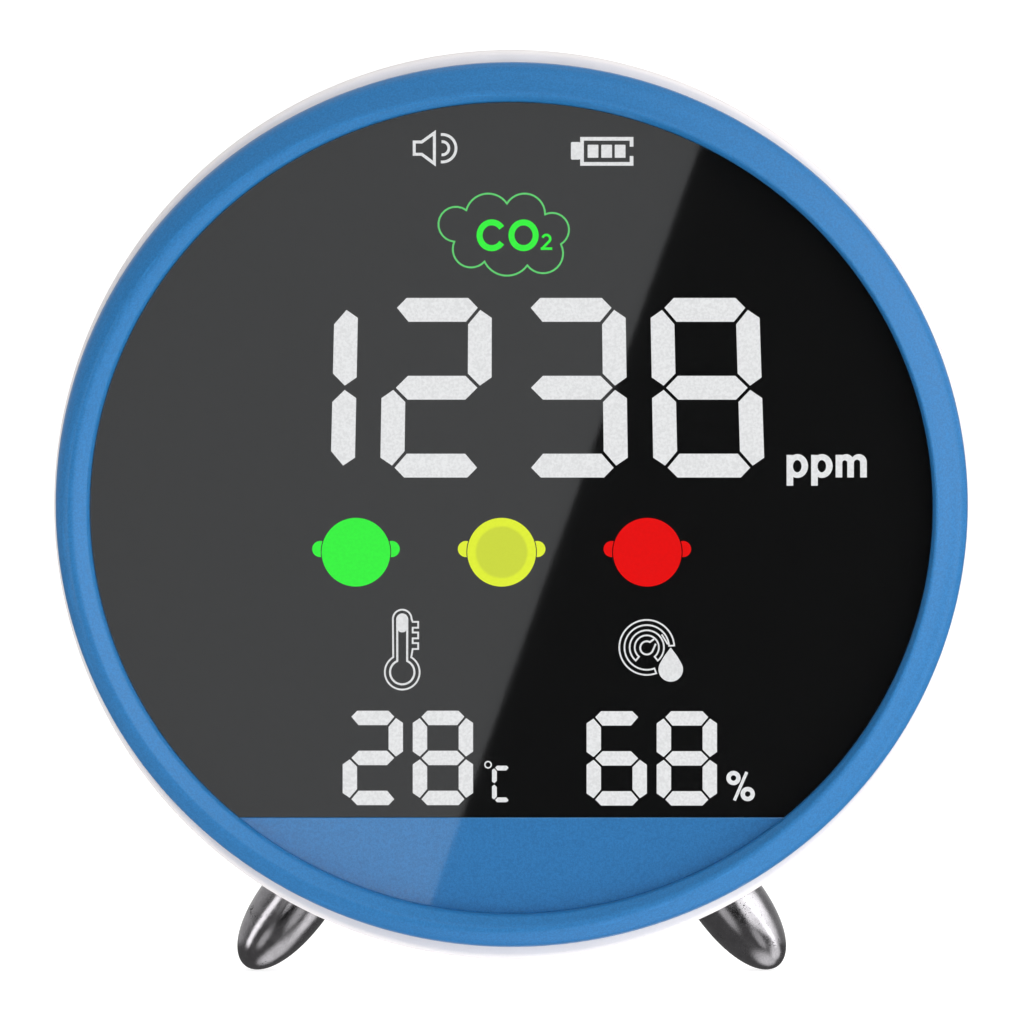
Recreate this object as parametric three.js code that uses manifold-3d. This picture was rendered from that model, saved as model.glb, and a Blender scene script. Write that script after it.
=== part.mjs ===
// Desktop carbon dioxide monitor: a round casing, like a small alarm clock's, that leans back on two
// splayed metal feet and a rubber pad. Millimetres, +Z up, front towards -Y, origin at the bounding box's
// bottom centre. The body is drawn upright in a frame of its own: X right, Y back from the bezel's crest,
// Z up from the middle of the casing. The last lines lean it back and stand it on the table.
import * as THREE from 'three';
import { mergeVertices } from 'three/addons/utils/BufferGeometryUtils.js';
import Module from 'manifold-3d';

const wasm = await Module();
wasm.setup();

// ---- Driving dimensions ----
const LEAN = THREE.MathUtils.degToRad(5); // how far the face leans back
const GAP = 0.1; // clearance between pieces that touch
const SKIN_GAP = 0.3; // clearance of a piece that is cut to the casing's curve
const CASE_SIDES = 40; // facets round the casing
const SMALL_SIDES = 12; // facets round a small bar
const ROUND_SIDES = 20; // facets round a button or the sounder

const CASE_RADIUS = 50; // half the casing's width
const CASE_OVAL = 0.9935; // the casing's height over its width
const CASE_FRONT = 5.1; // where the housing starts, behind the bezel
const CASE_BACK = 38.4; // outer face of the rear cover
const WALL = 2.2;

const BEZEL_RADIUS = 49.8;
const BEZEL_OVAL = 0.97;
const SPIGOT_BACK = 8.4; // where the bezel's sleeve ends inside the housing
const LENS_RADIUS = 45.9;
const LENS_OVAL = 0.9625;
const LENS_DROP = 0.35; // the lens's centre, below the casing's
const LENS_FRONT = 1;
const LENS_BACK = 2.5;
const PANEL_TOP = -33.8; // top edge of the blue lower panel, from the lens's centre

const FILM_FRONT = 2.8;
const FILM_BACK = 3.05;
const GUIDE_THICKNESS = 0.8;
const LED_MODULE_DEPTH = 7;
const BOARD_THICKNESS = 1.2;
const POST_ANGLES = [20, 160, 215, 325]; // degrees round the lens to the display board's posts

const MAIN_BOARD_FRONT = 27;
const MAIN_BOARD_RADIUS = 32;
const COVER_RADIUS = 39.4;
const COVER_THICKNESS = 2.2;
const COVER_SCREW_AT = 25.1; // the cover's screws stand this far from the middle in X and in Z
const STANDOFFS = [[-22, -18], [22, -18], [0, 28]]; // X and Z of the main board's screws

const BUTTONS = { power: -12, mode: 0, sound: 12 }; // each button's X
const BUTTON_Z = 19;
const BUTTON_RADIUS = 3.6;
const BUTTON_PROUD = 1;
const BUTTON_TRAVEL = 0.5;
const PLUNGER_RADIUS = 1.7;

const SENSOR = { x: 13, z: 2, width: 33, height: 20, depth: 6.4 };
const VENT = { count: 5, pitch: 3.8, width: 20, height: 1.8 };
const SOUNDER = { x: -18, z: 2, radius: 7.5, depth: 4.6 };
const GRILLE_PITCH = 3;
const GRILLE_HOLE = 0.8;
const USB = { x: 0, z: -27.5, width: 8.9, height: 3.2 };
const LABEL = { x: 0, z: -15.5, width: 34, height: 9 };
const BATTERY = { x: 0, z: -2, width: 50, height: 36, front: 16.5, back: 23.5 };

const TABLE_DROP = 51; // table below the casing's middle, at the feet
const FOOT_Y = 13;
const FOOT_AT = THREE.MathUtils.degToRad(28.6); // where a foot meets the casing, from straight down
const FOOT_SPLAY = THREE.MathUtils.degToRad(37);
const FOOT_RADIUS = 3.9;
const FOOT_TAPER = 9.5; // length over which a foot rounds off to its tip
const FOOT_OUT = 8.8; // from the casing's surface to a foot's tip
const PAD = { y: 30, width: 12, depth: 6 };

// ---- Sizes that follow ----
const LENS_SEAT = LENS_RADIUS + 0.12;
const LEDGE_RADIUS = LENS_RADIUS - 2.6;
const LEDGE_FRONT = FILM_BACK + GAP;
const LEDGE_BACK = LEDGE_FRONT + 1.6;
const SPIGOT_RADIUS = CASE_RADIUS - WALL - 0.6;
const GUIDE_FRONT = FILM_BACK + GAP;
const GUIDE_BACK = GUIDE_FRONT + GUIDE_THICKNESS;
const LED_MODULE_FRONT = GUIDE_BACK + GAP;
const DISPLAY_BOARD_FRONT = LED_MODULE_FRONT + LED_MODULE_DEPTH + GAP;
const DISPLAY_BOARD_BACK = DISPLAY_BOARD_FRONT + BOARD_THICKNESS;
const MAIN_BOARD_BACK = MAIN_BOARD_FRONT + BOARD_THICKNESS;
const ON_BOARD = MAIN_BOARD_BACK + GAP;
const COVER_INSIDE = CASE_BACK - COVER_THICKNESS;
const COVER_SEAT = COVER_RADIUS + 0.3;
const COVER_LEDGE = COVER_INSIDE - GAP;
const STEM_END = COVER_INSIDE - 2.9;
const SCREW_HEAD = { radius: 2.4, height: 1.1 };

// ---- Materials ----
const plain = (color, roughness = 0.5, metalness = 0) =>
  new THREE.MeshStandardMaterial({ color, roughness, metalness });
const bluePlastic = plain(0x3175b2, 0.45);
const whitePlastic = plain(0xe6e4e8, 0.4);
const blackFilm = plain(0x0f0f0f, 0.2);
const clearAcrylic = plain(0xdfe8ee, 0.05);
clearAcrylic.transparent = true;
clearAcrylic.opacity = 0.3;
const whiteLight = plain(0xf2f2f2, 0.6);
const greenLight = plain(0x41fa45, 0.6);
const yellowLight = plain(0xe2ee3e, 0.6);
const redLight = plain(0xe81010, 0.6);
const nickel = plain(0x8d8b90, 0.25, 1);
const steel = plain(0xb5b5b8, 0.3, 1);
const gold = plain(0xc79a3f, 0.3, 1);
const foil = plain(0x9aa3ad, 0.35, 1);
const rubber = plain(0x2a2a2c, 0.85);
const boardGreen = plain(0x14532d, 0.55);
const blackPlastic = plain(0x161616, 0.6);
const creamPlastic = plain(0xefece2, 0.6);
const labelPaper = plain(0xc9c9cc, 0.5);
const filterPaper = plain(0xf5f5f0, 0.9);
const redSleeve = plain(0xb01818, 0.5);
const blackSleeve = plain(0x18181a, 0.5);

// ---- Solids ----
function signedVolume(positions, triangles) {
  const corner = (i) => new THREE.Vector3().fromArray(positions, 3 * triangles[i]);
  let volume = 0;
  for (let i = 0; i < triangles.length; i += 3) {
    volume += corner(i).dot(corner(i + 1).cross(corner(i + 2))) / 6;
  }
  return volume;
}

// A closed geometry as a manifold-3d solid with its faces pointing out.
function solid(geometry) {
  const bare = new THREE.BufferGeometry();
  bare.setAttribute('position', geometry.getAttribute('position'));
  if (geometry.index) bare.setIndex(geometry.index);
  const merged = mergeVertices(bare, 1e-4);
  const vertProperties = new Float32Array(merged.getAttribute('position').array);
  const triVerts = new Uint32Array(merged.index.array);
  if (signedVolume(vertProperties, triVerts) < 0) triVerts.reverse();
  return new wasm.Manifold(new wasm.Mesh({ numProp: 3, vertProperties, triVerts }));
}

const joined = (first, ...others) => others.reduce((whole, next) => whole.add(next), first);
const cut = (first, ...others) => others.reduce((whole, next) => whole.subtract(next), first);

// A profile of [radius, y] points turned about Y, then reshaped. One off the axis closes into a ring.
function turned(profile, sides, reshape) {
  const onAxis = profile[0][0] === 0 && profile.at(-1)[0] === 0;
  const points = (onAxis ? profile : [...profile, profile[0]]).map(([r, y]) => new THREE.Vector2(r, y));
  return solid(reshape(new THREE.LatheGeometry(points, sides)));
}

// A shape in X and Z, extruded from y0 back to y1.
function slab(shape, y0, y1, curveSegments = 12) {
  const geometry = new THREE.ExtrudeGeometry(shape, { depth: y1 - y0, bevelEnabled: false, curveSegments });
  return solid(geometry.rotateX(Math.PI / 2).translate(0, y1, 0));
}

// A round bar along Y.
function rod(x, z, radius, y0, y1, sides = SMALL_SIDES) {
  const geometry = new THREE.CylinderGeometry(radius, radius, y1 - y0, sides);
  return solid(geometry.translate(x, (y0 + y1) / 2, z));
}

function block(x, z, width, height, y0, y1) {
  return solid(new THREE.BoxGeometry(width, y1 - y0, height).translate(x, (y0 + y1) / 2, z));
}

function roundedBlock({ x, z, width, height }, radius, y0, y1) {
  const [w, h] = [width / 2 - radius, height / 2 - radius];
  const quarter = Math.PI / 2;
  const shape = new THREE.Shape();
  shape.absarc(x + w, z + h, radius, 0, quarter);
  shape.absarc(x - w, z + h, radius, quarter, 2 * quarter);
  shape.absarc(x - w, z - h, radius, 2 * quarter, 3 * quarter);
  shape.absarc(x + w, z - h, radius, 3 * quarter, 4 * quarter);
  return slab(shape, y0, y1, 2);
}

// A pan-head screw along Y. Its head's outer face is at y and faces back if way is 1, or front if it is -1.
function screw(x, z, y, way, head, shankRadius, shankLength) {
  const seat = y - way * head.height;
  const between = (a, b) => [Math.min(a, b), Math.max(a, b)];
  const made = joined(
    rod(x, z, head.radius, ...between(y, seat)),
    rod(x, z, shankRadius, ...between(seat + way * 0.1, seat - way * shankLength), 8),
  );
  const recess = between(y + way, y - (way * head.height) / 2);
  const length = head.radius * 1.3;
  const width = head.radius / 4;
  return cut(made, block(x, z, length, width, ...recess), block(x, z, width, length, ...recess));
}

// The casing's turned shapes are a little wider than tall.
const caseOval = (geometry) => geometry.scale(1, 1, CASE_OVAL);

// Fits turned shapes to the lens's oval inside and the bezel's outside, whose centres are LENS_DROP apart.
function bezelOval(geometry) {
  const at = geometry.getAttribute('position');
  for (let i = 0; i < at.count; i++) {
    const radius = Math.hypot(at.getX(i), at.getZ(i));
    const outward = THREE.MathUtils.clamp((radius - LENS_RADIUS) / (BEZEL_RADIUS - LENS_RADIUS), 0, 1);
    const oval = THREE.MathUtils.lerp(LENS_OVAL, BEZEL_OVAL, outward);
    at.setZ(i, at.getZ(i) * oval - LENS_DROP * (1 - outward));
  }
  return geometry;
}

// The part of a lens-shaped oval above or below a level edge, as a shape in X and Z.
function ovalPart(radius, edge, above) {
  const height = radius * LENS_OVAL;
  const turn = Math.asin(edge / height);
  const [from, to] = above ? [turn, Math.PI - turn] : [-Math.PI - turn, turn];
  return new THREE.Shape().absellipse(0, -LENS_DROP, radius, height, from, to);
}

// ---- Front ----
const posts = POST_ANGLES.map(THREE.MathUtils.degToRad).map((turn) => [
  (LEDGE_RADIUS + 1.2) * Math.cos(turn),
  (LEDGE_RADIUS + 1.2) * LENS_OVAL * Math.sin(turn) - LENS_DROP,
]);

function frontBezel() {
  const ring = turned([
    [BEZEL_RADIUS, CASE_FRONT - GAP],
    [BEZEL_RADIUS, 3.4],
    [BEZEL_RADIUS - 0.35, 1.9],
    [BEZEL_RADIUS - 1, 0.75],
    [BEZEL_RADIUS - 2.3, 0],
    [BEZEL_RADIUS - 2.9, 0.2],
    [LENS_SEAT + 0.25, 0.8],
    [LENS_SEAT, 1.2],
    [LENS_SEAT, LEDGE_FRONT],
    [LEDGE_RADIUS, LEDGE_FRONT],
    [LEDGE_RADIUS, LEDGE_BACK],
    [SPIGOT_RADIUS - 1.4, LEDGE_BACK],
    [SPIGOT_RADIUS - 1.4, SPIGOT_BACK],
    [SPIGOT_RADIUS, SPIGOT_BACK],
    [SPIGOT_RADIUS, CASE_FRONT - GAP],
  ], CASE_SIDES, bezelOval);
  const lowerPanel = slab(ovalPart(LENS_SEAT + 0.3, PANEL_TOP, false), LENS_BACK + GAP, LEDGE_BACK);
  const postBars = posts.map(([x, z]) => rod(x, z, 1.4, LEDGE_FRONT + 0.5, DISPLAY_BOARD_FRONT - GAP, 12));
  const holes = posts.map(([x, z]) => rod(x, z, 0.6, LEDGE_BACK + 1, DISPLAY_BOARD_FRONT + 1, 10));
  return cut(joined(ring, lowerPanel, ...postBars), ...holes);
}

function lens() {
  return turned([
    [0, LENS_FRONT],
    [LENS_RADIUS - 0.4, LENS_FRONT],
    [LENS_RADIUS, LENS_FRONT + 0.4],
    [LENS_RADIUS, LENS_BACK],
    [0, LENS_BACK],
  ], CASE_SIDES, bezelOval);
}

// ---- Display ----
// Each seven-segment digit is two squares of corners high. A bar joins two corners.
const CORNERS = { A: [-1, 1], B: [1, 1], C: [-1, 0], D: [1, 0], E: [-1, -1], F: [1, -1] };
const DIGIT_BARS = {
  1: ['BD', 'DF'],
  2: ['AB', 'BD', 'CD', 'CE', 'EF'],
  3: ['AB', 'BD', 'CD', 'DF', 'EF'],
  6: ['AB', 'AC', 'CD', 'CE', 'DF', 'EF'],
  8: ['AB', 'AC', 'BD', 'CD', 'CE', 'DF', 'EF'],
};
const SMALL_DIGITS = { pitch: 7.65, width: 6.6, height: 10.3, stroke: 1.5, inset: 0.14 };
const READOUTS = {
  co2_readout: {
    text: '1238', x: -1, z: 12.75, pitch: 14.75, width: 12.1, height: 19.7, stroke: 2.6, inset: 0.28,
  },
  temperature_readout: { text: '28', x: -11.3, z: -27.65, ...SMALL_DIGITS },
  humidity_readout: { text: '68', x: 15.25, z: -27.7, ...SMALL_DIGITS },
};
const INDICATOR_LIGHTS = { green: greenLight, yellow: yellowLight, red: redLight };
const INDICATOR = { x: -1.1, z: -5.2, pitch: 15.9, radius: 3.75, earRadius: 0.9, earX: 3.9, earZ: 0.35 };

// A bar of a digit: a hexagon whose pointed ends stop short of the two corners.
function barShape(from, to, half, inset) {
  const along = to.clone().sub(from).normalize();
  const aside = new THREE.Vector2(-along.y, along.x);
  const at = (corner, forward, sideways) =>
    corner.clone().addScaledVector(along, forward).addScaledVector(aside, sideways);
  return new THREE.Shape([
    at(from, inset, 0), at(from, inset + half, -half), at(to, -inset - half, -half),
    at(to, -inset, 0), at(to, -inset - half, half), at(from, inset + half, half),
  ]);
}

// All the bars of a readout, widened by grow.
function readoutBars({ text, x, z, pitch, width, height, stroke, inset }, grow, y0, y1) {
  return [...text].flatMap((digit, i) => DIGIT_BARS[digit].map((bar) => {
    const [from, to] = [...bar].map((corner) => new THREE.Vector2(
      x + (i - (text.length - 1) / 2) * pitch + (CORNERS[corner][0] * (width - stroke)) / 2,
      z + (CORNERS[corner][1] * (height - stroke)) / 2,
    ));
    return slab(barShape(from, to, stroke / 2 + grow, inset - grow), y0, y1);
  }));
}

function indicatorLight(x, grow, y0, y1) {
  const { z, radius, earRadius, earX, earZ } = INDICATOR;
  const ears = [-1, 1].map((side) => rod(x + side * earX, z + earZ, earRadius + grow, y0, y1));
  return joined(rod(x, z, radius + grow, y0, y1, 24), ...ears);
}

const indicatorX = Object.fromEntries(
  Object.keys(INDICATOR_LIGHTS).map((name, i) => [name, INDICATOR.x + (i - 1) * INDICATOR.pitch]));
// Depth of what shows through the film, down into its plate, and of the windows that it stands in.
const LIT = [FILM_FRONT + 0.05, GUIDE_FRONT + 0.2];
const WINDOW = [FILM_FRONT - 1, FILM_BACK + 1];
const WINDOW_GROW = 0.05; // clearance round what stands in a window

function readoutGuide(readout) {
  const { text, x, z, pitch, width, height } = readout;
  const plate = block(x, z, (text.length - 1) * pitch + width + 1.5, height + 1.5, GUIDE_FRONT, GUIDE_BACK);
  return joined(plate, ...readoutBars(readout, 0, ...LIT));
}

function indicatorGuide(x) {
  const plate = block(x, INDICATOR.z, 11, 9, GUIDE_FRONT, GUIDE_BACK);
  return joined(plate, indicatorLight(x, 0, ...LIT));
}

function displayFilm() {
  const sheet = slab(ovalPart(LENS_RADIUS - 0.15, PANEL_TOP + GAP, true), FILM_FRONT, FILM_BACK, 20);
  const readouts = Object.values(READOUTS).flatMap(
    (readout) => readoutBars(readout, WINDOW_GROW, ...WINDOW));
  const lights = Object.values(indicatorX).map((x) => indicatorLight(x, WINDOW_GROW, ...WINDOW));
  return cut(sheet, ...readouts, ...lights);
}

function ledModule() {
  const shape = ovalPart(LEDGE_RADIUS - 0.5, PANEL_TOP + 0.6, true);
  return slab(shape, LED_MODULE_FRONT, LED_MODULE_FRONT + LED_MODULE_DEPTH);
}

function displayBoard() {
  const plate = slab(ovalPart(LENS_RADIUS - 0.4, PANEL_TOP, true), DISPLAY_BOARD_FRONT, DISPLAY_BOARD_BACK);
  const holes = posts.map(([x, z]) => rod(x, z, 0.75, DISPLAY_BOARD_FRONT - 1, DISPLAY_BOARD_BACK + 1, 10));
  return cut(plate, ...holes);
}

const DISPLAY_SCREW_HEAD = { radius: 1.4, height: 0.7 };
const displayScrew = ([x, z]) =>
  screw(x, z, DISPLAY_BOARD_BACK + GAP + DISPLAY_SCREW_HEAD.height, 1, DISPLAY_SCREW_HEAD, 0.5, 5);

// A flat cable, folded into a channel between the two boards.
function displayRibbon() {
  const [front, back] = [DISPLAY_BOARD_BACK + GAP, MAIN_BOARD_FRONT - GAP];
  const [top, bottom, thick, width] = [-25, -29.4, 0.4, 12];
  const profile = new THREE.Shape([
    [front, top], [front, bottom], [back, bottom], [back, top],
    [back - thick, top], [back - thick, bottom + thick],
    [front + thick, bottom + thick], [front + thick, top],
  ].map(([y, z]) => new THREE.Vector2(y, z)));
  const geometry = new THREE.ExtrudeGeometry(profile, { depth: width, bevelEnabled: false });
  const yzx = new THREE.Matrix4().makeBasis(
    new THREE.Vector3(0, 1, 0), new THREE.Vector3(0, 0, 1), new THREE.Vector3(1, 0, 0));
  return solid(geometry.applyMatrix4(yzx).translate(-width / 2, 0, 0));
}

// ---- Feet, built along their own axis, which runs down and out ----
function onFoot(geometry, side) {
  const axis = new THREE.Vector3(side * Math.sin(FOOT_SPLAY), 0, -Math.cos(FOOT_SPLAY));
  const anchor = new THREE.Vector3(
    side * CASE_RADIUS * Math.sin(FOOT_AT), FOOT_Y, -CASE_RADIUS * CASE_OVAL * Math.cos(FOOT_AT));
  const turn = new THREE.Quaternion().setFromUnitVectors(new THREE.Vector3(0, -1, 0), axis);
  return solid(geometry.applyMatrix4(new THREE.Matrix4().compose(anchor, turn, new THREE.Vector3(1, 1, 1))));
}

// A bar on a foot's axis. Heights run inwards from the casing's surface.
function footBar(side, radius, from, to, sides = SMALL_SIDES) {
  const geometry = new THREE.CylinderGeometry(radius, radius, to - from, sides);
  return onFoot(geometry.translate(0, (from + to) / 2, 0), side);
}

const housingOutside = (grow) => [
  [CASE_RADIUS - 0.6, CASE_FRONT],
  [CASE_RADIUS, CASE_FRONT + 0.6],
  [CASE_RADIUS, 9],
  [CASE_RADIUS - 0.4, 20],
  [CASE_RADIUS - 1.6, 30],
  [CASE_RADIUS - 2.8, 33],
  [CASE_RADIUS - 4.8, 35.6],
  [CASE_RADIUS - 7.4, 37.3],
  [COVER_SEAT + 0.4, CASE_BACK - 0.3],
].map(([r, y]) => [r + grow, y]);

// All the space that the closed casing takes, with clearance.
const casingSpace = turned(
  [[0, CASE_FRONT], ...housingOutside(SKIN_GAP), [0, CASE_BACK]], CASE_SIDES, caseOval);

// All the space under the table top, which rises towards the back as the body sees it.
const underTable = solid(new THREE.BoxGeometry(200, 200, 60).translate(0, 0, -30)
  .rotateX(LEAN).translate(0, FOOT_Y, -TABLE_DROP));

function foot(side) {
  const steps = 9;
  const outline = Array.from({ length: steps + 1 }, (_, i) => {
    const left = Math.cos((Math.PI / 2) * (i / steps)); // share of the taper still ahead
    const radius = FOOT_RADIUS * Math.sqrt(1 - left ** 2.3);
    return new THREE.Vector2(radius, FOOT_TAPER * (1 - left) - FOOT_OUT);
  });
  outline.push(new THREE.Vector2(FOOT_RADIUS, 3), new THREE.Vector2(0, 3));
  const bullet = onFoot(new THREE.LatheGeometry(outline, 20), side);
  return cut(bullet, casingSpace, underTable, footBar(side, 1.15, -4.5, 4));
}

const footWasher = (side) => cut(footBar(side, 3, 3.6, 4.2), footBar(side, 1.6, 3, 5));
const footScrew = (side) => joined(footBar(side, 0.95, -4, 4.5), footBar(side, 2.4, 4.3, 6, 6));

function rearPad() {
  const blank = new THREE.BoxGeometry(PAD.width, PAD.depth, 8).translate(0, PAD.y, -TABLE_DROP + 4);
  return cut(solid(blank), casingSpace, underTable);
}

// ---- Housing ----
const coverScrews = [[1, 1], [-1, 1], [-1, -1], [1, -1]].map(
  (corner) => corner.map((sign) => sign * COVER_SCREW_AT));

function housing() {
  const shell = turned([
    [CASE_RADIUS - WALL, CASE_FRONT],
    ...housingOutside(0),
    [COVER_SEAT, CASE_BACK - 0.3],
    [COVER_SEAT, COVER_LEDGE],
    [COVER_SEAT - 2.6, COVER_LEDGE],
    [COVER_SEAT - 2.6, COVER_LEDGE - 1.8],
    [CASE_RADIUS - 6.4, COVER_LEDGE - 2.4],
    [CASE_RADIUS - 3.9, 30],
    [CASE_RADIUS - WALL, 12],
  ], CASE_SIDES, caseOval);
  const bosses = coverScrews.map(([x, z]) => rod(x, z, 2.6, COVER_LEDGE - 6.5, COVER_LEDGE));
  const bossHoles = coverScrews.map(([x, z]) => rod(x, z, 0.95, COVER_LEDGE - 5.5, COVER_LEDGE + 1, 12));
  // A flat seat inside, square to each foot's axis, that the foot's screw pulls up against.
  const within = turned([
    [0, CASE_FRONT],
    [CASE_RADIUS - 0.8, CASE_FRONT],
    [CASE_RADIUS - 0.8, 18],
    [0, 18],
  ], CASE_SIDES, caseOval);
  const seats = [-1, 1].map((side) => footBar(side, 3.6, -0.8, 3.5).intersect(within));
  const footHoles = [-1, 1].map((side) => footBar(side, 1.6, -4, 8));
  return cut(joined(shell, ...bosses, ...seats), ...bossHoles, ...footHoles);
}

// ---- Rear cover ----
function rearCover() {
  const through = [COVER_INSIDE - 1, CASE_BACK + 1];
  const plate = turned([
    [0, COVER_INSIDE],
    [COVER_RADIUS, COVER_INSIDE],
    [COVER_RADIUS, CASE_BACK - 0.4],
    [COVER_RADIUS - 0.4, CASE_BACK],
    [0, CASE_BACK],
  ], CASE_SIDES, caseOval);
  const standoffs = STANDOFFS.map(([x, z]) => rod(x, z, 2.3, ON_BOARD, COVER_INSIDE + 0.5));
  const standoffHoles = STANDOFFS.map(([x, z]) => rod(x, z, 0.95, ON_BOARD - 1, COVER_INSIDE - 1, 12));
  const vents = Array.from({ length: VENT.count }, (_, i) => {
    const z = SENSOR.z + (i - (VENT.count - 1) / 2) * VENT.pitch;
    return roundedBlock({ ...VENT, x: SENSOR.x, z }, 0.85, ...through);
  });
  const grille = [0, 1, 2].flatMap((ring) => {
    const count = Math.max(1, 6 * ring);
    return Array.from({ length: count }, (_, i) => {
      const turn = (2 * Math.PI * i) / count;
      const [x, z] = [Math.cos(turn), Math.sin(turn)].map((along) => along * ring * GRILLE_PITCH);
      return rod(SOUNDER.x + x, SOUNDER.z + z, GRILLE_HOLE, ...through, 6);
    });
  });
  const buttonHoles = Object.values(BUTTONS).map(
    (x) => rod(x, BUTTON_Z, BUTTON_RADIUS + 0.25, ...through, ROUND_SIDES));
  const screwHoles = coverScrews.flatMap(([x, z]) => [
    rod(x, z, 1.3, ...through, 12),
    rod(x, z, SCREW_HEAD.radius + 0.2, CASE_BACK - SCREW_HEAD.height - 0.3, CASE_BACK + 1, 16),
  ]);
  const usbHole = roundedBlock(
    { ...USB, width: USB.width + 0.5, height: USB.height + 0.5 }, 1.8, ...through);
  const labelRecess = roundedBlock(
    { ...LABEL, width: LABEL.width + 0.4, height: LABEL.height + 0.4 }, 1.2, CASE_BACK - 0.3, CASE_BACK + 1);
  return cut(joined(plate, ...standoffs),
    ...standoffHoles, ...vents, ...grille, ...buttonHoles, ...screwHoles, usbHole, labelRecess);
}

const ratingLabel = () => roundedBlock(LABEL, 1, CASE_BACK - 0.2, CASE_BACK - 0.05);
const coverScrew = ([x, z]) => screw(x, z, CASE_BACK - 0.15, 1, SCREW_HEAD, 0.8, 5.5);

// ---- Buttons and their switches ----
// A cap that shows, a flange that keeps it in and a stem that reaches for the plunger.
function button(x) {
  const top = CASE_BACK + BUTTON_PROUD;
  const cap = turned([
    [0, COVER_INSIDE - 0.5],
    [BUTTON_RADIUS, COVER_INSIDE - 0.5],
    [BUTTON_RADIUS, top - 0.5],
    [BUTTON_RADIUS - 0.5, top],
    [0, top],
  ], ROUND_SIDES, (geometry) => geometry.translate(x, 0, BUTTON_Z));
  const flange = rod(x, BUTTON_Z, BUTTON_RADIUS + 1, COVER_INSIDE - 1.2, COVER_INSIDE - GAP, ROUND_SIDES);
  return joined(cap, flange, rod(x, BUTTON_Z, 1.5, STEM_END, COVER_INSIDE - 1, 12));
}

const PLUNGER_TOP = STEM_END - GAP;
const SWITCH_TOP = PLUNGER_TOP - BUTTON_TRAVEL - GAP;
const switchPlunger = (x) => rod(x, BUTTON_Z, PLUNGER_RADIUS, SWITCH_TOP - 1, PLUNGER_TOP, 12);
function switchBody(x) {
  const well = rod(x, BUTTON_Z, PLUNGER_RADIUS + 0.2, SWITCH_TOP - 1 - BUTTON_TRAVEL - GAP, SWITCH_TOP + 1);
  return cut(block(x, BUTTON_Z, 6, 6, ON_BOARD, SWITCH_TOP), well);
}

// ---- Main board and what is on it ----
function mainBoard() {
  const holes = STANDOFFS.map(([x, z]) => rod(x, z, 1.1, MAIN_BOARD_FRONT - 1, MAIN_BOARD_BACK + 1, 12));
  return cut(rod(0, 0, MAIN_BOARD_RADIUS, MAIN_BOARD_FRONT, MAIN_BOARD_BACK, CASE_SIDES), ...holes);
}

const BOARD_SCREW_HEAD = { radius: 1.8, height: 1 };
const boardScrew = ([x, z]) =>
  screw(x, z, MAIN_BOARD_FRONT - GAP - BOARD_SCREW_HEAD.height, -1, BOARD_SCREW_HEAD, 0.8, 5);

const SENSOR_BACK = ON_BOARD + SENSOR.depth;
function co2Sensor() {
  const recess = { ...SENSOR, width: 16.4, height: 6.4 };
  return cut(roundedBlock(SENSOR, 2, ON_BOARD, SENSOR_BACK),
    roundedBlock(recess, 1.2, SENSOR_BACK - 0.4, SENSOR_BACK + 1));
}
const sensorFilter = () =>
  roundedBlock({ ...SENSOR, width: 16, height: 6 }, 1, SENSOR_BACK - 0.3, SENSOR_BACK + 0.2);
const dustMesh = () =>
  roundedBlock({ ...SENSOR, width: 24, height: 20 }, 1.5, COVER_INSIDE - 0.4, COVER_INSIDE - GAP);

const SOUNDER_BACK = ON_BOARD + SOUNDER.depth;
function sounder() {
  const { x, z, radius } = SOUNDER;
  return cut(rod(x, z, radius, ON_BOARD, SOUNDER_BACK, ROUND_SIDES),
    rod(x, z, 1.2, SOUNDER_BACK - 2, SOUNDER_BACK + 1));
}
function sounderGasket() {
  const { x, z, radius } = SOUNDER;
  return cut(rod(x, z, radius, SOUNDER_BACK + GAP, COVER_INSIDE - GAP, ROUND_SIDES),
    rod(x, z, radius - 1.2, SOUNDER_BACK - 1, COVER_INSIDE + 1, ROUND_SIDES));
}

const USB_FLOOR = ON_BOARD + 2.5;
function usbSocket() {
  const mouth = { ...USB, width: USB.width - 0.6, height: USB.height - 0.6 };
  return cut(roundedBlock(USB, 1.5, ON_BOARD, CASE_BACK - 0.2),
    roundedBlock(mouth, 1.2, USB_FLOOR, CASE_BACK + 1));
}

// ---- Battery ----
const LEADS = { red: -19, black: -17 }; // each lead's X
const PLUG = { x: -18, z: 23, width: 5, height: 4, depth: 4 };

// A round lead from the battery's top edge back and up into its plug.
function batteryLead(x) {
  const top = BATTERY.z + BATTERY.height / 2;
  const [front, back] = [(BATTERY.front + BATTERY.back) / 2, MAIN_BOARD_FRONT - GAP - PLUG.depth / 2];
  const end = PLUG.z - PLUG.height / 2 - 0.3;
  const path = new THREE.CatmullRomCurve3([
    [x, front, top + 0.3], [x, front, top + 1.3], [x, (front + back) / 2, (top + end) / 2 + 0.3],
    [x, back, end - 1], [x, back, end],
  ].map((point) => new THREE.Vector3(...point)));
  const section = new THREE.Shape().absarc(0, 0, 0.55, 0, 2 * Math.PI);
  const options = { steps: 9, extrudePath: path, bevelEnabled: false, curveSegments: 4 };
  return solid(new THREE.ExtrudeGeometry(section, options));
}

// ---- Everything, in the body's own frame ----
const body = new THREE.Group();

function piece(name, made, material) {
  const { vertProperties, triVerts, numProp } = made.getMesh();
  const positions = new Float32Array((vertProperties.length / numProp) * 3);
  for (let i = 0; i < positions.length / 3; i++) {
    positions.set(vertProperties.subarray(i * numProp, i * numProp + 3), i * 3);
  }
  const geometry = new THREE.BufferGeometry();
  geometry.setAttribute('position', new THREE.BufferAttribute(positions, 3));
  geometry.setIndex(new THREE.BufferAttribute(new Uint32Array(triVerts), 1));
  geometry.computeVertexNormals();
  const mesh = new THREE.Mesh(geometry, material);
  mesh.name = name;
  body.add(mesh);
}

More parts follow.
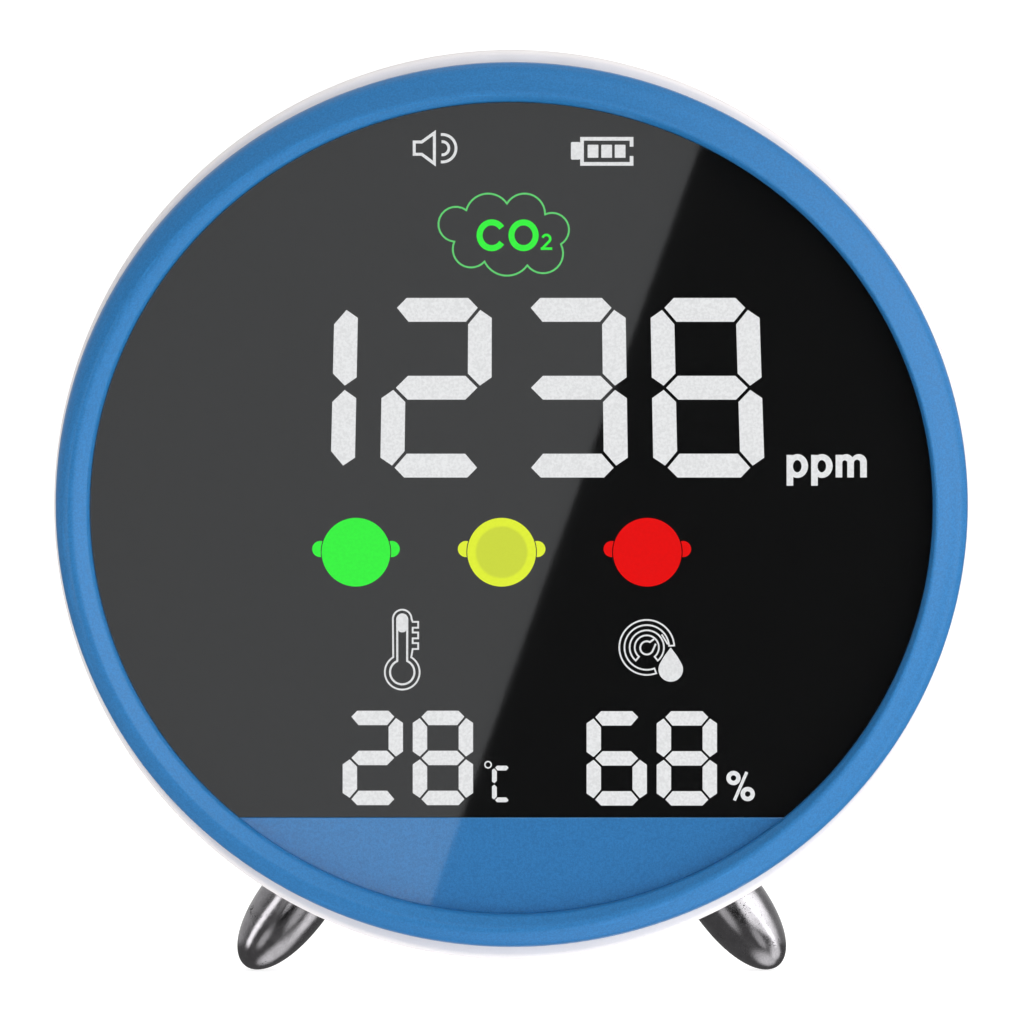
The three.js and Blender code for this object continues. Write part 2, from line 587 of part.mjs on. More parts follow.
piece('front_bezel', frontBezel(), bluePlastic);
piece('lens', lens(), clearAcrylic);
piece('display_film', displayFilm(), blackFilm);
for (const [name, readout] of Object.entries(READOUTS)) piece(name, readoutGuide(readout), whiteLight);
for (const [name, light] of Object.entries(INDICATOR_LIGHTS)) {
  piece(`indicator_${name}`, indicatorGuide(indicatorX[name]), light);
}
piece('led_module', ledModule(), blackPlastic);
piece('display_board', displayBoard(), boardGreen);
posts.forEach((at, i) => piece(`display_screw_${i + 1}`, displayScrew(at), steel));
piece('display_ribbon', displayRibbon(), creamPlastic);

piece('housing', housing(), whitePlastic);
for (const [name, side] of [['left', -1], ['right', 1]]) {
  piece(`foot_${name}`, foot(side), nickel);
  piece(`foot_washer_${name}`, footWasher(side), steel);
  piece(`foot_screw_${name}`, footScrew(side), steel);
}
piece('rear_pad', rearPad(), rubber);
piece('rear_cover', rearCover(), whitePlastic);
piece('rating_label', ratingLabel(), labelPaper);
coverScrews.forEach((at, i) => piece(`cover_screw_${i + 1}`, coverScrew(at), steel));

for (const [name, x] of Object.entries(BUTTONS)) {
  piece(`${name}_button`, button(x), whitePlastic);
  piece(`${name}_plunger`, switchPlunger(x), creamPlastic);
  piece(`${name}_switch`, switchBody(x), blackPlastic);
}

piece('main_board', mainBoard(), boardGreen);
STANDOFFS.forEach((at, i) => piece(`board_screw_${i + 1}`, boardScrew(at), steel));
piece('co2_sensor', co2Sensor(), gold);
piece('sensor_filter', sensorFilter(), filterPaper);
piece('dust_mesh', dustMesh(), blackPlastic);
piece('humidity_sensor', block(SENSOR.x, -13, 3, 3, ON_BOARD, ON_BOARD + 1.2), blackPlastic);
piece('controller_chip', block(-7, 4, 5, 5, ON_BOARD, ON_BOARD + 1.2), blackPlastic);
piece('sounder', sounder(), blackPlastic);
piece('sounder_gasket', sounderGasket(), rubber);
piece('usb_socket', usbSocket(), steel);
piece('usb_tongue', block(USB.x, USB.z, 6.6, 0.7, USB_FLOOR + GAP, CASE_BACK - 1), blackPlastic);

piece('battery', roundedBlock(BATTERY, 2.5, BATTERY.front, BATTERY.back), foil);
piece('battery_tape',
  block(BATTERY.x, BATTERY.z, 40, 26, BATTERY.back + GAP, MAIN_BOARD_FRONT - GAP), blackPlastic);
const plugBack = MAIN_BOARD_FRONT - GAP;
piece('battery_plug',
  block(PLUG.x, PLUG.z, PLUG.width, PLUG.height, plugBack - PLUG.depth, plugBack), creamPlastic);
piece('battery_lead_red', batteryLead(LEADS.red), redSleeve);
piece('battery_lead_black', batteryLead(LEADS.black), blackSleeve);

// ---- Lean back, and stand on the table ----
body.rotation.x = -LEAN;
const monitor = new THREE.Group();
monitor.add(body);
monitor.updateMatrixWorld(true);
const box = new THREE.Box3().setFromObject(monitor, true);
const middle = box.getCenter(new THREE.Vector3());
body.position.set(-middle.x, -middle.y, -box.min.z);

export default monitor;
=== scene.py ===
"""Looks for a round desk carbon dioxide monitor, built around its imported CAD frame.

Pieces are drawn in the upright casing's own frame, in millimetres: X to the right, Y back from the crest
of the bezel, Z up from the casing's middle. BODY leans that frame back onto the table.
"""

from math import acos, atan2, cos, degrees, hypot, pi, radians, sin, sqrt

import bmesh
import bpy
from mathutils import Matrix, Vector


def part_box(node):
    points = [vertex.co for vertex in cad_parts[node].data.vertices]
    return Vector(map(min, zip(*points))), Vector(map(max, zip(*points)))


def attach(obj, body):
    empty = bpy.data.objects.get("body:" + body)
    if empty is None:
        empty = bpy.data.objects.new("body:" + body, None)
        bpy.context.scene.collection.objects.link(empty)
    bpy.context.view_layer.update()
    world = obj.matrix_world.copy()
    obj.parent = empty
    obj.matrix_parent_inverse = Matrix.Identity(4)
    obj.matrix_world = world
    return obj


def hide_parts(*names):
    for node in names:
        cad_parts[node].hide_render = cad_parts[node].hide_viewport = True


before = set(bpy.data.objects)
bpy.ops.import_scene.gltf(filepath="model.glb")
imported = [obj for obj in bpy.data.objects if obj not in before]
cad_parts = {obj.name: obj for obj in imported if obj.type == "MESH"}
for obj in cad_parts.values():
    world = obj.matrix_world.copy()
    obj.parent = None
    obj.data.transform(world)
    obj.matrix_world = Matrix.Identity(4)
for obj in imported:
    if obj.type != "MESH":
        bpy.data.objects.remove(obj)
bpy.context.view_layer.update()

MM = 0.001
LEAN = radians(5)
RING_SIDES = 256
ROUND_SIDES = 64
EDGE_STEPS = 4
SHARP_ANGLE = radians(38)

# The casing and the front, as in the CAD model. An oval is a height for a width of one.
CASE_OVAL = 0.9935
BEZEL_OVAL = 0.97
LENS_OVAL = 0.9625
LENS_DROP = 0.35
LENS_RADIUS = 45.9
BEZEL_RADIUS = 49.8
PANEL_TOP = -34.15
BOARD_MIDDLE = 27.6

# How far the bezel's crest runs off centre, which way, and how deep the part that moves with it goes.
CREST_SHIFT = 1.1
CREST_WAY = radians(212)
CREST_DEPTH = 2.4

# Depths of the front's layers, each from its face to its back. The lit pieces stand a little out of the mask.
WINDOW_DEPTHS = (1.0, 2.5)
PANEL_DEPTHS = (2.6, 4.7)
FILM_DEPTHS = (2.8, 3.05)
LIT_DEPTHS = (2.66, 2.86)

TURN = Matrix.Rotation(-LEAN, 4, "X")


def box_centre(node):
    """The middle of a CAD node's box, in metres."""
    low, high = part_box(node)
    return (low + high) / 2


ORIGIN = box_centre("main_board") - TURN @ Vector((0, BOARD_MIDDLE * MM, 0))
BODY = Matrix.Translation(ORIGIN) @ TURN


def centre(node):
    """The middle of a CAD node in the upright frame, in millimetres."""
    return BODY.inverted() @ box_centre(node) / MM


# ---------------------------------------------------------------------------------------------
# Outlines: closed lists of (x, z) points in millimetres
# ---------------------------------------------------------------------------------------------

def arc(x, z, radius, start, end, steps=32, oval=1.0):
    """Points along an arc from one angle to another, in degrees, anticlockwise from the right."""
    turns = [radians(start + (end - start) * i / steps) for i in range(steps + 1)]
    return [(x + radius * cos(a), z + radius * oval * sin(a)) for a in turns]


def circle(x, z, radius, sides=ROUND_SIDES, oval=1.0):
    return arc(x, z, radius, 0, 360, sides, oval)[:-1]


def rounded_box(x, z, width, height, corner, steps=8):
    across = width / 2 - corner
    up = height / 2 - corner
    points = []
    for side_x, side_z, start in ((1, 1, 0), (-1, 1, 90), (-1, -1, 180), (1, -1, 270)):
        points += arc(x + side_x * across, z + side_z * up, corner, start, start + 90, steps)
    return points


def arc_through(first, middle, last, steps=14):
    """Points along the circle through three points, without the last one."""
    (ax, az), (bx, bz), (cx, cz) = first, middle, last
    turn = 2 * (ax * (bz - cz) + bx * (cz - az) + cx * (az - bz))
    a, b, c = ax * ax + az * az, bx * bx + bz * bz, cx * cx + cz * cz
    x = (a * (bz - cz) + b * (cz - az) + c * (az - bz)) / turn
    z = (a * (cx - bx) + b * (ax - cx) + c * (bx - ax)) / turn
    start = atan2(az - z, ax - x)
    sweep = (atan2(cz - z, cx - x) - start) % (2 * pi)
    past = (atan2(bz - z, bx - x) - start) % (2 * pi)
    if past > sweep:
        sweep -= 2 * pi
    radius = hypot(ax - x, az - z)
    turns = [start + sweep * i / steps for i in range(steps)]
    return [(x + radius * cos(t), z + radius * sin(t)) for t in turns]


def mitre(before, here, after):
    """How far a corner moves when both of its edges move one unit to their right."""
    normals = []
    for start, end in ((before, here), (here, after)):
        along = (Vector(end) - Vector(start)).normalized()
        normals.append(Vector((along.y, -along.x)))
    return (normals[0] + normals[1]) / (1 + normals[0].dot(normals[1]))


def offset(points, distance):
    """A closed outline grown by a distance, or shrunk where it is negative."""
    count = len(points)
    area = 0.0
    for i in range(count):
        area += points[i - 1][0] * points[i][1] - points[i][0] * points[i - 1][1]
    grow = distance if area > 0 else -distance
    moved = []
    for i in range(count):
        step = mitre(points[i - 1], points[i], points[(i + 1) % count])
        moved.append(tuple(Vector(points[i]) + step * grow))
    return moved


def ribbon(path, width):
    """The outline of a line of even width along an open path."""
    sides = []
    for way in (1, -1):
        side = []
        for i, here in enumerate(path):
            if i == 0:
                ahead = tuple(2 * Vector(here) - Vector(path[1]))
                step = mitre(ahead, here, path[1])
            elif i == len(path) - 1:
                ahead = tuple(2 * Vector(here) - Vector(path[-2]))
                step = mitre(path[-2], here, ahead)
            else:
                step = mitre(path[i - 1], here, path[i + 1])
            side.append(tuple(Vector(here) + step * way * width / 2))
        sides.append(side)
    return sides[0] + sides[1][::-1]


def smooth_run(points, steps=6):
    """A smooth curve through all the points."""
    padded = [points[0], *points, points[-1]]
    run = []
    for i in range(len(points) - 1):
        a, b, c, d = (Vector(p) for p in padded[i:i + 4])
        for j in range(steps):
            t = j / steps
            run.append(tuple(0.5 * (2 * b + (c - a) * t + (2 * a - 5 * b + 4 * c - d) * t ** 2
                                    + (3 * b - a - 3 * c + d) * t ** 3)))
    return run + [points[-1]]


# ---------------------------------------------------------------------------------------------
# Solids, added to a bmesh
# ---------------------------------------------------------------------------------------------

def upright(x, z, depth):
    """Where an outline's point lies, for a solid that faces the front or the back."""
    return Vector((x, depth, z)) * MM


def wall(bm, points, levels, place):
    """Walls along an outline through levels of (growth, depth). Gives the first and last rings' edges."""
    rings = []
    for growth, depth in levels:
        outline = offset(points, growth) if growth else points
        rings.append([bm.verts.new(place(x, z, depth)) for x, z in outline])
    for upper, lower in zip(rings, rings[1:]):
        for i in range(len(points)):
            bm.faces.new((upper[i - 1], upper[i], lower[i], lower[i - 1])).smooth = True
    return [[bm.edges.get((end[i - 1], end[i])) for i in range(len(end))] for end in (rings[0], rings[-1])]


def edge_levels(edge, start, end, growth_sign):
    """Levels from a rounded edge at the start depth down to the end depth."""
    if edge == 0:
        return [(0, start), (0, end)]
    way = 1 if end > start else -1
    levels = []
    for i in range(EDGE_STEPS + 1):
        turn = pi / 2 * i / EDGE_STEPS
        levels.append((growth_sign * edge * (1 - sin(turn)), start + way * edge * (1 - cos(turn))))
    levels[-1] = (0, start + way * edge)
    return levels + [(0, end)]


def plate(bm, outlines, start, end, holes=(), pockets=(), edge=0.0, hole_edge=0.0, place=upright):
    """A flat solid from its visible face at start to its back at end. A pocket is (outline, floor depth).
    edge and hole_edge round the face's outer corners and the corners of its holes."""
    face, back = [], []
    for points in outlines:
        first, last = wall(bm, points, edge_levels(edge, start, end, -1), place)
        face += first
        back += last
    for points in holes:
        first, last = wall(bm, points, edge_levels(hole_edge, start, end, 1), place)
        face += first
        back += last
    flats = [face, back]
    for points, floor in pockets:
        first, last = wall(bm, points, edge_levels(hole_edge, start, floor, 1), place)
        face += first
        flats.append(last)
    for edges in flats:
        filled = bmesh.ops.triangle_fill(bm, use_beauty=True, edges=edges)
        for part in filled["geom"]:
            if isinstance(part, bmesh.types.BMFace):
                part.smooth = False


def turned(bm, profile, place, sides=ROUND_SIDES):
    """A turned solid. The profile of (radius, depth) starts and ends on the axis, or closes on itself."""
    rings = []
    for radius, depth in profile:
        count = sides if radius > 0 else 1
        rings.append([bm.verts.new(place(radius, depth, 2 * pi * i / count)) for i in range(count)])
    if len(rings[0]) > 1:
        rings.append(rings[0])
    for upper, lower in zip(rings, rings[1:]):
        for i in range(sides):
            corners = [upper[(i - 1) % len(upper)], upper[i % len(upper)]]
            corners += [lower[i % len(lower)], lower[(i - 1) % len(lower)]]
            bm.faces.new(list(dict.fromkeys(corners))).smooth = True


def about(x, z, oval=1.0):
    """A placing for turned solids whose axis runs straight back through (x, z)."""
    return lambda radius, depth, turn: upright(x + radius * cos(turn), z + radius * oval * sin(turn), depth)


def on_bezel(radius, depth, turn):
    """A placing for the bezel. Its oval grows from the lens's to its own, the lens sits a little low, and
    the crest runs a little off centre, so that the inner slope is widest at the lower left."""
    outward = min(max((radius - LENS_RADIUS) / (BEZEL_RADIUS - LENS_RADIUS), 0), 1)
    oval = LENS_OVAL + (BEZEL_OVAL - LENS_OVAL) * outward
    drop = LENS_DROP * (1 - outward)
    shift = CREST_SHIFT * sin(pi * outward) if depth < CREST_DEPTH else 0
    x = radius * cos(turn) + shift * cos(CREST_WAY)
    z = radius * oval * sin(turn) - drop + shift * sin(CREST_WAY)
    return upright(x, z, depth)


def piece(name, bm, material, body="case", replaces=()):
    """Makes the object in its place on the table and ties it to the frame."""
    bmesh.ops.recalc_face_normals(bm, faces=bm.faces)
    for edge in bm.edges:
        flat = any(not side.smooth for side in edge.link_faces)
        edge.smooth = not flat and edge.calc_face_angle() < SHARP_ANGLE
    mesh = bpy.data.meshes.new(name)
    bm.to_mesh(mesh)
    bm.free()
    mesh.transform(BODY)
    mesh.materials.append(material)
    made = bpy.data.objects.new(name, mesh)
    bpy.context.scene.collection.objects.link(made)
    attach(made, body)
    if replaces:
        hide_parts(*replaces)
    return made


# ---------------------------------------------------------------------------------------------
# Materials
# ---------------------------------------------------------------------------------------------

def wire(tree, kind, inputs, **settings):
    """A new node, with each input either linked to a socket or set to a value."""
    made = tree.nodes.new(kind)
    for name, value in settings.items():
        setattr(made, name, value)
    for key, value in inputs.items():
        if isinstance(value, bpy.types.NodeSocket):
            tree.links.new(value, made.inputs[key])
        else:
            made.inputs[key].default_value = value
    return made


def blank_material(name):
    material = bpy.data.materials.new(name)
    material.use_nodes = True
    material.node_tree.nodes.clear()
    tree = material.node_tree
    output = wire(tree, "ShaderNodeOutputMaterial", {})
    where = wire(tree, "ShaderNodeTexCoord", {}).outputs["Object"]
    return material, tree, output, where


def noise(tree, where, size, detail=3.0):
    """Noise whose patches are about size millimetres across."""
    inputs = {"Vector": where, "Scale": 1 / (size * MM), "Detail": detail, "Roughness": 0.6}
    return wire(tree, "ShaderNodeTexNoise", inputs).outputs["Fac"]


def remap(tree, value, low, high, to_low, to_high):
    inputs = {"Value": value, "From Min": low, "From Max": high, "To Min": to_low, "To Max": to_high}
    made = wire(tree, "ShaderNodeMapRange", inputs, interpolation_type="SMOOTHSTEP")
    return made.outputs["Result"]


def mix(tree, factor, first, second):
    """A colour between two. The mix node's colour sockets are its numbers 6 and 7, and its output is 2."""
    inputs = {0: factor, 6: first, 7: second}
    return wire(tree, "ShaderNodeMix", inputs, data_type="RGBA").outputs[2]


def shade(colour, amount):
    return tuple(min(c * amount, 1) for c in colour) + (1,)


SHARP_GLOSS = 0.01


def surface(name, colour, roughness, metallic=0.0, mottle=0.08, patch=1.5, grain=0.2, relief=0.01,
            wear=0.0, pits=0.0, specular=0.5, coat=0.0):
    """A solid finish. patch and grain are the sizes of its colour patches and its grain, in millimetres,
    relief is the grain's height, wear lightens its edges, pits puts dark specks on it, and coat is a
    clear polished skin."""
    material, tree, output, where = blank_material(name)
    patches = noise(tree, where, patch)
    specks = noise(tree, where, grain)
    both = wire(tree, "ShaderNodeMath", {0: patches, 1: specks}, operation="ADD").outputs[0]
    spread = remap(tree, both, 0.7, 1.3, 0, 1)
    paint = mix(tree, spread, shade(colour, 1 - mottle), shade(colour, 1 + mottle))
    polish = remap(tree, patches, 0.3, 0.7, roughness * 0.85, roughness * 1.15)
    if wear:
        point = wire(tree, "ShaderNodeNewGeometry", {}).outputs["Pointiness"]
        paint = mix(tree, remap(tree, point, 0.52, 0.6, 0, wear), paint, shade(colour, 1.6))
    if pits:
        spots = wire(tree, "ShaderNodeMath", {0: noise(tree, where, 0.16), 1: noise(tree, where, 2.5)},
                     operation="ADD").outputs[0]
        holes = remap(tree, spots, 1.2, 1.27, 0, pits)
        paint = mix(tree, holes, paint, shade(colour, 0.12))
        polish = wire(tree, "ShaderNodeMath", {0: polish, 1: holes}, operation="MAXIMUM").outputs[0]
    bump = wire(tree, "ShaderNodeBump", {"Height": specks, "Distance": relief * MM, "Strength": 1.0})
    inputs = {"Base Color": paint, "Roughness": polish, "Metallic": metallic,
              "Specular IOR Level": specular, "Normal": bump.outputs["Normal"],
              "Coat Weight": coat, "Coat Roughness": SHARP_GLOSS}
    shader = wire(tree, "ShaderNodeBsdfPrincipled", inputs)
    tree.links.new(shader.outputs[0], output.inputs["Surface"])
    return material


def glow(name, colour, mottle, dull=None):
    """A frosted light. dull is (centre, radius, colour) of a duller middle, in the upright frame's
    millimetres."""
    material, tree, output, where = blank_material(name)
    specks = noise(tree, where, 0.3)
    light = mix(tree, remap(tree, specks, 0.35, 0.65, 0, 1), shade(colour, 1 - mottle), shade(colour, 1))
    if dull:
        middle, radius, dull_colour = dull
        spot = tuple(BODY @ (Vector(middle) * MM))
        measure = wire(tree, "ShaderNodeVectorMath", {0: where, 1: spot}, operation="DISTANCE")
        inside = remap(tree, measure.outputs["Value"], radius * 0.7 * MM, radius * 0.8 * MM, 1, 0)
        light = mix(tree, inside, light, shade(dull_colour, 1))
    bump = wire(tree, "ShaderNodeBump", {"Height": specks, "Distance": 0.01 * MM, "Strength": 0.6})
    base = mix(tree, remap(tree, specks, 0.3, 0.7, 0, 1), shade(colour, 0.04), shade(colour, 0.06))
    inputs = {"Base Color": base, "Emission Color": light, "Emission Strength": 1.0,
              "Roughness": remap(tree, specks, 0.3, 0.7, 0.45, 0.6), "Specular IOR Level": 0.1,
              "Normal": bump.outputs["Normal"]}
    shader = wire(tree, "ShaderNodeBsdfPrincipled", inputs)
    tree.links.new(shader.outputs[0], output.inputs["Surface"])
    return material


# What plain plastic mirrors head on, which the window's anti-reflective face takes away.
HEAD_ON_MIRROR = 0.0405


def window(name):
    """Clear flat plastic with an anti-reflective face: head on it only lets light through, and toward
    grazing a polished reflection grows. Only the faces toward the eye reflect, because light goes straight
    through without bending."""
    material, tree, output, where = blank_material(name)
    clear = wire(tree, "ShaderNodeBsdfTransparent", {"Color": (0.985, 0.99, 0.995, 1)})
    haze = remap(tree, noise(tree, where, 9.0), 0.3, 0.7, 0.002, 0.008)
    gloss = wire(tree, "ShaderNodeBsdfGlossy", {"Color": (1, 1, 1, 1), "Roughness": haze})
    mirror = wire(tree, "ShaderNodeFresnel", {"IOR": 1.5}).outputs[0]
    away = wire(tree, "ShaderNodeNewGeometry", {}).outputs["Backfacing"]
    toward = wire(tree, "ShaderNodeMath", {0: 1.0, 1: away}, operation="SUBTRACT").outputs[0]
    coated = wire(tree, "ShaderNodeMath", {0: mirror, 1: HEAD_ON_MIRROR}, operation="SUBTRACT",
                  use_clamp=True).outputs[0]
    share = wire(tree, "ShaderNodeMath", {0: coated, 1: toward}, operation="MULTIPLY").outputs[0]
    both = wire(tree, "ShaderNodeMixShader", {0: share, 1: clear.outputs[0], 2: gloss.outputs[0]})
    tree.links.new(both.outputs[0], output.inputs["Surface"])
    return material


BLUE_FINISH = {"colour": (0.019, 0.163, 0.405), "roughness": 0.36, "mottle": 0.13, "patch": 0.32,
               "grain": 0.16, "relief": 0.006, "wear": 0.2, "specular": 0.3}
BLUE = surface("blue_plastic", **BLUE_FINISH)
PANEL = surface("blue_panel", coat=1.0, **BLUE_FINISH)
WHITE = surface("white_plastic", (0.87, 0.83, 0.83), 0.38, mottle=0.02, patch=4, grain=0.12,
                relief=0.004, wear=0.1)
FILM = surface("black_film", (0.0038, 0.0038, 0.0038), 0.7, mottle=0.08, patch=1.0, grain=0.15,
               relief=0.0001, specular=0.03, coat=1.0)
NICKEL = surface("nickel", (0.33, 0.32, 0.335), 0.17, metallic=1.0, mottle=0.12, patch=1.2, grain=0.16,
                 relief=0.007, pits=0.85)
STEEL = surface("steel", (0.74, 0.74, 0.76), 0.34, metallic=1.0, mottle=0.08, patch=0.8, grain=0.1,
                relief=0.004, wear=0.3)
GOLD = surface("gold_can", (0.72, 0.50, 0.20), 0.35, metallic=1.0, mottle=0.06, relief=0.004)
RUBBER = surface("rubber", (0.022, 0.022, 0.024), 0.75, mottle=0.2, grain=0.15, relief=0.02)
BOARD = surface("circuit_board", (0.010, 0.095, 0.030), 0.35, mottle=0.15, patch=2.5, relief=0.01)
BLACK = surface("black_plastic", (0.011, 0.011, 0.012), 0.5, mottle=0.15, grain=0.15, relief=0.01, wear=0.3)
CREAM = surface("cream_plastic", (0.82, 0.79, 0.70), 0.45, mottle=0.03, relief=0.006)
MESH_CLOTH = surface("black_fabric", (0.012, 0.012, 0.012), 0.9, mottle=0.3, patch=0.4, grain=0.1,
                     relief=0.05)
PAPER = surface("filter_paper", (0.88, 0.88, 0.85), 0.9, mottle=0.04, grain=0.1, relief=0.02)
LABEL = surface("label", (0.58, 0.58, 0.60), 0.5, mottle=0.04, patch=3, grain=0.1, relief=0.004)
FOIL = surface("battery_foil", (0.50, 0.53, 0.56), 0.4, metallic=0.8, mottle=0.08, patch=3, relief=0.02)
RED_SLEEVE = surface("red_sleeve", (0.42, 0.010, 0.010), 0.5, mottle=0.08, relief=0.008)
BLACK_SLEEVE = surface("black_sleeve", (0.011, 0.011, 0.013), 0.5, mottle=0.1, relief=0.008)
LENS = window("clear_window")
MARK_GREY = surface("mark_grey", (0.20, 0.20, 0.22), 0.5, mottle=0.08, relief=0.003)
WHITE_LIGHT = glow("white_light", (0.80, 0.80, 0.80), 0.12)
ICON_LIGHT = glow("icon_light", (0.77, 0.77, 0.77), 0.1)
GREEN_LIGHT = glow("green_light", (0.042, 0.87, 0.054), 0.03)
RED_LIGHT = glow("red_light", (0.78, 0.001, 0.001), 0.03)
CLOUD_LIGHT = glow("cloud_light", (0.13, 0.62, 0.17), 0.08)

# Finishes of the CAD nodes, by the record's slots. The yellow light's own is made with its piece.
KEPT_FINISHES = {
    "blue_plastic": BLUE, "white_plastic": WHITE, "clear_window": LENS, "black_film": FILM,
    "nickel": NICKEL, "steel": STEEL, "gold_can": GOLD, "rubber": RUBBER, "circuit_board": BOARD,
    "black_plastic": BLACK, "cream_plastic": CREAM, "black_fabric": MESH_CLOTH, "filter_paper": PAPER,
    "label": LABEL, "battery_foil": FOIL, "red_sleeve": RED_SLEEVE, "black_sleeve": BLACK_SLEEVE,
    "white_light": WHITE_LIGHT, "green_light": GREEN_LIGHT, "red_light": RED_LIGHT,
    "yellow_light": WHITE_LIGHT,
}


def finish_kept_nodes():
    """Gives every CAD node a procedural finish in place of its plain colour."""
    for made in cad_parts.values():
        for i, old in enumerate(made.data.materials):
            made.data.materials[i] = KEPT_FINISHES[old.name.split(".")[0]]


# ---------------------------------------------------------------------------------------------
# The front: bezel, lens, mask
# ---------------------------------------------------------------------------------------------

def make_bezel():
    crest = smooth_run([(49.8, 3.7), (49.7, 2.6), (49.35, 1.75), (48.6, 1.05), (47.9, 0.44), (47.5, 0.13),
                        (47.2, 0.06), (46.95, 0.16), (46.55, 0.54), (46.2, 0.92), (46.02, 1.4)])
    seat = [(46.02, 3.15), (43.3, 3.15), (43.3, 4.75), (45.8, 4.75), (45.8, 8.2), (46.0, 8.4), (47.0, 8.4),
            (47.2, 8.2), (47.2, 5.0), (49.7, 5.0), (49.8, 4.9)]
    bm = bmesh.new()
    turned(bm, crest + seat, on_bezel, RING_SIDES)
    piece("bezel_ring", bm, BLUE, replaces=("front_bezel",))

    bm = bmesh.new()
    plate(bm, [lens_part(46.1, below=True)], *PANEL_DEPTHS, edge=0.12)
    piece("lower_panel", bm, PANEL)


def lens_part(radius, below, gap=0.0):
    """The part of a lens-shaped disc below or above the top of the lower panel."""
    low = (PANEL_TOP + gap + LENS_DROP) / (radius * LENS_OVAL)
    turn = 90 - degrees(acos(low))
    start, end = (180 - turn, 360 + turn) if below else (turn, 180 - turn)
    return arc(0, -LENS_DROP, radius, start, end, 160, LENS_OVAL)


def make_lens_and_mask():
    bm = bmesh.new()
    plate(bm, [circle(0, -LENS_DROP, LENS_RADIUS, RING_SIDES, LENS_OVAL)], *WINDOW_DEPTHS, edge=0.15)
    piece("window", bm, LENS, replaces=("lens",))

    bm = bmesh.new()
    plate(bm, [lens_part(46.0, below=False, gap=0.03)], *FILM_DEPTHS)
    piece("mask_film", bm, FILM, replaces=("display_film",))


# ---------------------------------------------------------------------------------------------
# The lit readouts
# ---------------------------------------------------------------------------------------------

# Segments of each figure: a top, b and c right, d bottom, e and f left, g middle.
FIGURES = {"1": "bc", "2": "abged", "3": "abgcd", "6": "afgecd", "8": "abcdefg", "C": "afed"}
# The figures of a readout widen a little toward the bottom, by this share for each millimetre.
KEYSTONE = 0.0012


def inset(points, distances):
    """A polygon whose edges each move inward by their own distance. It runs anticlockwise."""
    count = len(points)
    lines = []
    for i in range(count):
        start, end = Vector(points[i]), Vector(points[(i + 1) % count])
        along = (end - start).normalized()
        lines.append((start + Vector((-along.y, along.x)) * distances[i], along))
    corners = []
    for i in range(count):
        (p, u), (q, v) = lines[i - 1], lines[i]
        cross = u.x * v.y - u.y * v.x
        t = ((q - p).x * v.y - (q - p).y * v.x) / cross
        corners.append(tuple(p + u * t))
    return corners


def segment_shapes(width, height, stroke, gap):
    """The seven segments of a figure about its middle, each as an anticlockwise outline."""
    w, h, s = width / 2, height / 2, stroke
    cut = gap / 2
    top = [(-w + s, h - s), (w - s, h - s), (w - 0.5 * s, h - 0.41 * s), (w - 0.9 * s, h),
           (-w + 0.9 * s, h), (-w + 0.5 * s, h - 0.41 * s)]
    left = [(-w, 0.35 * s), (-w + 0.5 * s, 0), (-w + s, 0.5 * s), (-w + s, h - s),
            (-w + 0.5 * s, h - 0.41 * s), (-w, h - 0.75 * s)]
    middle = [(-w + s, -0.5 * s), (w - s, -0.5 * s), (w - 0.5 * s, 0), (w - s, 0.5 * s),
              (-w + s, 0.5 * s), (-w + 0.5 * s, 0)]
    a = inset(top, (0, cut, cut, 0, cut, cut))
    f = inset(left, (cut, cut, 0, cut, cut, 0))
    g = inset(middle, (0, cut, cut, 0, cut, cut))
    return {
        "a": a, "f": f, "g": g,
        "d": [(x, -z) for x, z in a],
        "e": [(x, -z) for x, z in f],
        "b": [(-x, z) for x, z in f],
        "c": [(-x, -z) for x, z in f],
    }


def figures(text, right, z, pitch, width, height, stroke, gap, keystone=0.0):
    """Outlines of the lit segments of a number whose last figure ends at right."""
    shapes = segment_shapes(width, height, stroke, gap)
    outlines = []
    for i, figure in enumerate(text):
        x = right - width / 2 - pitch * (len(text) - 1 - i)
        for name in FIGURES[figure]:
            moved = [(x + px, pz) for px, pz in shapes[name]]
            outlines.append([(px * (1 - keystone * pz), z + pz) for px, pz in moved])
    return outlines


def lit_piece(name, solids, material, replaces=()):
    """A flat lit piece. solids is a list of (outlines, holes)."""
    bm = bmesh.new()
    for outlines, holes in solids:
        plate(bm, outlines, *LIT_DEPTHS, holes=holes, edge=0.04)
    return piece(name, bm, material, replaces=replaces)


def ring(x, z, radius, width, oval=1.0):
    """A ring of even width, as (outlines, holes)."""
    outer = circle(x, z, radius, 48, oval)
    return [outer], [offset(outer, -width)]


def line(path, width):
    return [ribbon(path, width)], []


def closed_line(path, width):
    return [offset(path, width / 2)], [offset(path, -width / 2)]


def make_readouts():
    co2 = centre("co2_readout")
    big = figures("1238", 27.3, co2.z, 14.75, 12.0, 19.6, 2.6, 0.36, KEYSTONE)
    lit_piece("co2_figures", [(big, [])], WHITE_LIGHT, ("co2_readout",))
    for name, text, right in (("temperature", "28", -4.22), ("humidity", "68", 22.4)):
        z = centre(name + "_readout").z
        small = figures(text, right, z, 7.65, 6.58, 10.3, 1.57, 0.24)
        lit_piece(name + "_figures", [(small, [])], WHITE_LIGHT, (name + "_readout",))


